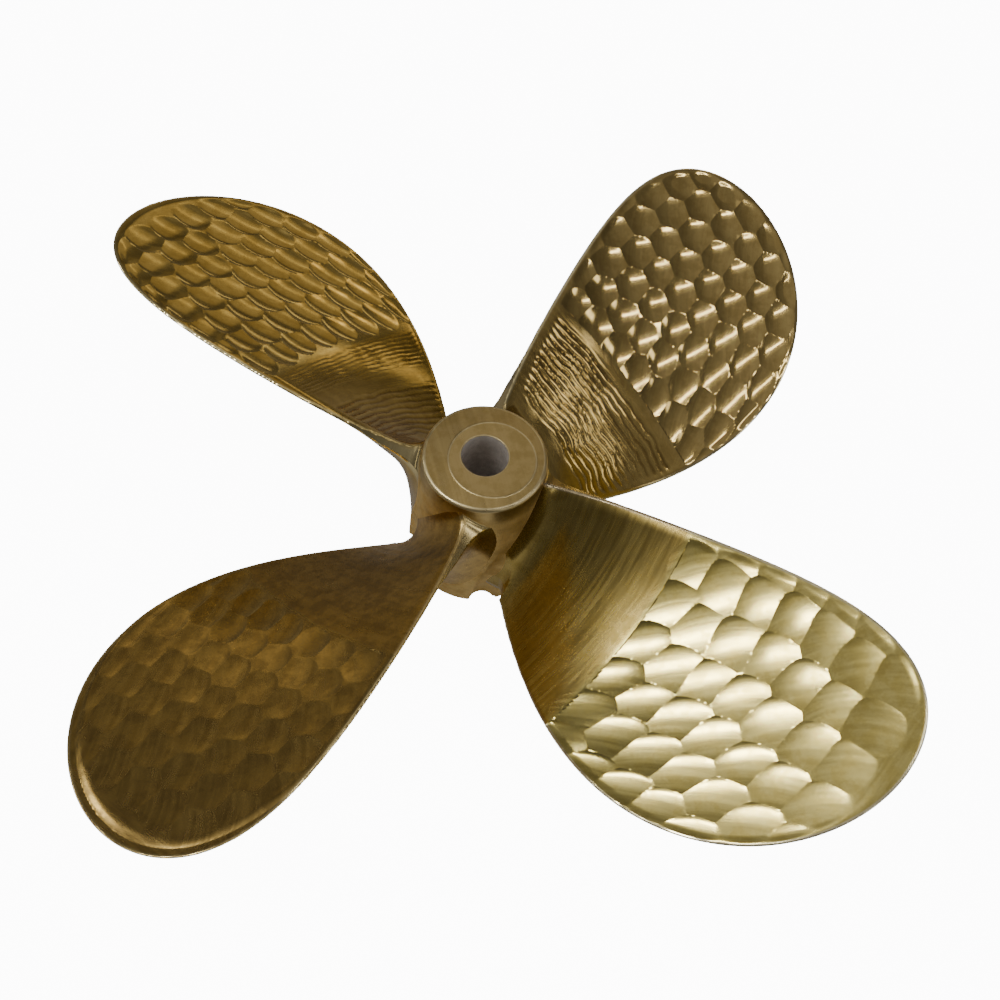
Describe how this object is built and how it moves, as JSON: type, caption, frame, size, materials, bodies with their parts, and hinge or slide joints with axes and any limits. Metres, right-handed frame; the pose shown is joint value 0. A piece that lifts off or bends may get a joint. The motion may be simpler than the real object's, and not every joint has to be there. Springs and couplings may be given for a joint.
{
  "type": "ship propeller",
  "caption": "Fixed-pitch marine screw propeller in cast bronze, blades and hub in one piece, with a tapered bore for its shaft.",
  "frame": {"origin": "centre of the hub's forward end face, on which the propeller stands", "axes": "+Z along the shaft axis from the hub's forward face to its aft face, the end seen in the picture; +X and +Y through two of the gaps between the blades"},
  "size_m": [0.6626, 0.6626, 0.1658],
  "materials": {
    "bronze": "hand-ground bronze casting, bright on the blades and satin on the hub"
  },
  "bodies": {
    "root": {"propeller_casting": "bronze"}
  },
  "joints": []
}
